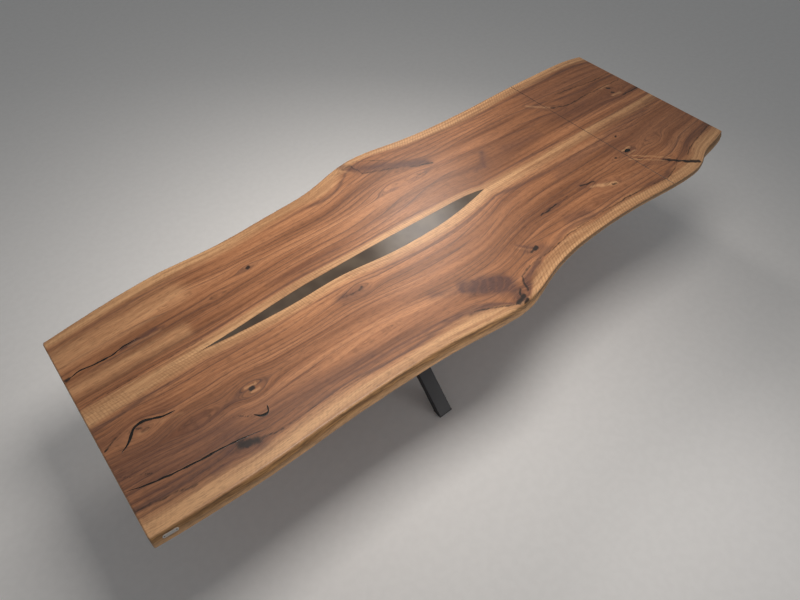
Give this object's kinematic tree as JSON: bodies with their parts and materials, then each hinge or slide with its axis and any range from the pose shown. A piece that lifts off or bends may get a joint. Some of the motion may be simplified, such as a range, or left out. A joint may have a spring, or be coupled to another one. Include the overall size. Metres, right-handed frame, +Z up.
{
  "type": "dining table",
  "caption": "Long live-edge walnut dining table with a smoky resin inlay in its centre joint, a slide-on end leaf and a crossed black steel tube base.",
  "frame": {"origin": "on the floor under the middle of the top's outer box", "axes": "+X along the top towards the leaf, +Y to the far side, +Z up"},
  "size_m": [2.9, 1.0419, 0.76],
  "materials": {
    "walnut": "oiled live-edge walnut with pale sapwood, satin",
    "smoky_resin": "smoky cast resin, polished",
    "black_fill": "black resin in cracks and knots",
    "beech": "plain beech",
    "black_steel": "fine satin black powder coat",
    "zinc_steel": "zinc plated",
    "brass": "turned brass",
    "black_plastic": "moulded black plastic",
    "plate_steel": "brushed, bare"
  },
  "bodies": {
    "table": {"crack_fill_far": "black_fill", "crack_fills_near": "black_fill", "edge_plate": "plate_steel", "edge_plate_pins": "plate_steel", "flange_bolts": "zinc_steel", "flange_far": "black_steel", "flange_left": "black_steel", "flange_near": "black_steel", "flange_right": "black_steel", "foot_glide_far": "black_plastic", "foot_glide_left": "black_plastic", "foot_glide_near": "black_plastic", "foot_glide_right": "black_plastic", "foot_plate_far": "black_steel", "foot_plate_left": "black_steel", "foot_plate_near": "black_steel", "foot_plate_right": "black_steel", "guide_far_inner": "black_steel", "guide_far_outer": "black_steel", "guide_near_inner": "black_steel", "guide_near_outer": "black_steel", "guide_screws": "zinc_steel", "hub": "black_steel", "hub_cap_bottom": "black_steel", "hub_cap_top": "black_steel", "joint_tenons": "beech", "lower_leg_far": "black_steel", "lower_leg_left": "black_steel", "lower_leg_near": "black_steel", "lower_leg_right": "black_steel", "main_board_far": "walnut", "main_board_near": "walnut", "pin_bushes": "brass", "resin_inlay": "smoky_resin", "stiffener_left": "black_steel", "stiffener_right": "black_steel", "stiffener_screws": "zinc_steel", "threaded_inserts": "brass", "upper_arm_far": "black_steel", "upper_arm_left": "black_steel", "upper_arm_near": "black_steel", "upper_arm_right": "black_steel"},
    "leaf": {"leaf_board_far": "walnut", "leaf_board_near": "walnut", "leaf_joint_tenons": "beech", "leaf_knot_fills": "black_fill", "leaf_stiffener": "black_steel", "leaf_stiffener_screws": "zinc_steel", "leaf_bar_far": "black_steel", "leaf_bar_near": "black_steel", "leaf_bar_cap_far": "black_plastic", "leaf_bar_cap_near": "black_plastic", "leaf_bar_screws": "zinc_steel", "leaf_pins": "zinc_steel"}
  },
  "joints": [
    {"name": "leaf_slide", "type": "slide", "parent": "table", "child": "leaf", "axis": [1, 0, 0], "range_m": [0, 0.36]}
  ]
}
